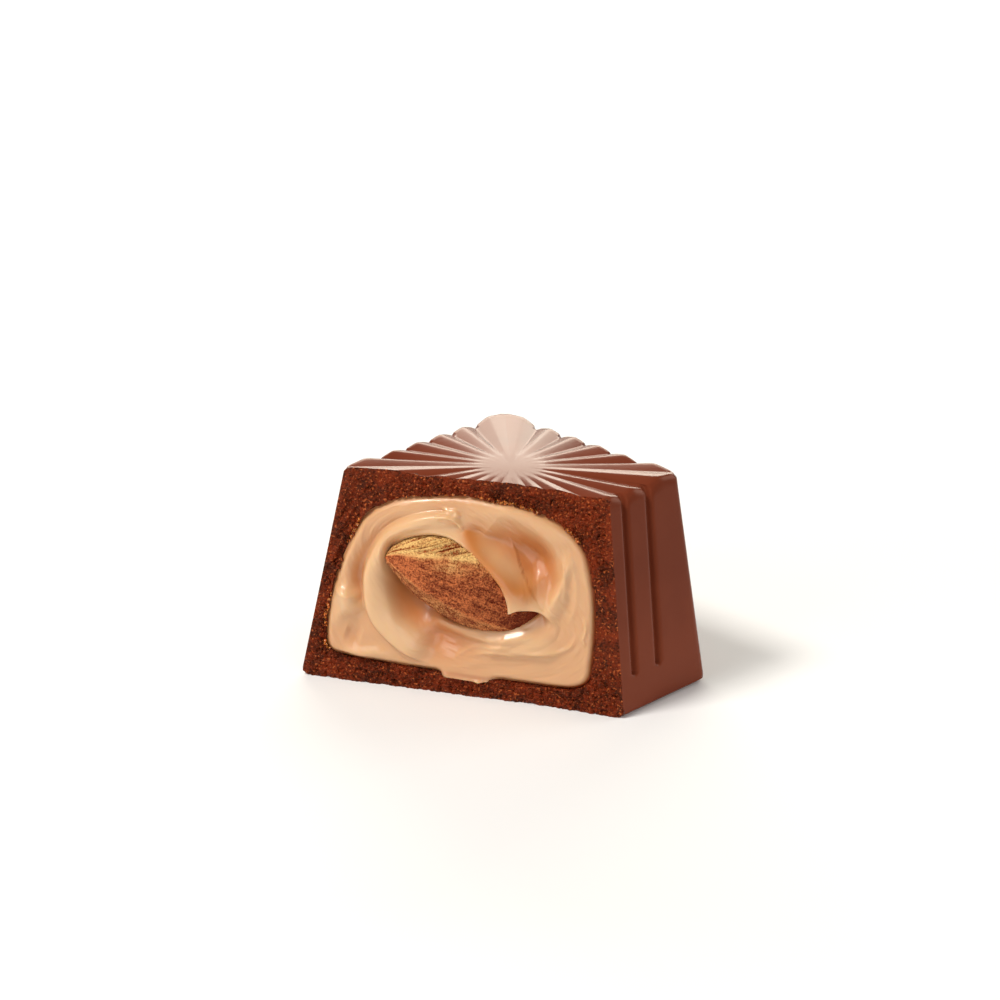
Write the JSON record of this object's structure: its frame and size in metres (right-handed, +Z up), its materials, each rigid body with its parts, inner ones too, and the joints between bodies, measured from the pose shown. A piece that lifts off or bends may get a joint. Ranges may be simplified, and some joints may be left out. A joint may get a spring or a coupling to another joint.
{
  "type": "almond praline",
  "caption": "Moulded square chocolate praline with a fluted top, cut open to show a swirled cream filling round a whole almond.",
  "frame": {"origin": "middle of the bounding box on the surface the praline rests on", "axes": "+Z up; the cut face looks along -Y and runs along X, with the almond's point towards -X"},
  "size_m": [0.0404, 0.0274, 0.0234],
  "materials": {
    "chocolate": "satin milk chocolate, crumbly where it is cut",
    "cream": "soft glossy nut cream",
    "almond_skin": "dry ridged brown skin"
  },
  "bodies": {
    "root": {"shell": "chocolate", "filling": "cream", "almond": "almond_skin"}
  },
  "joints": []
}
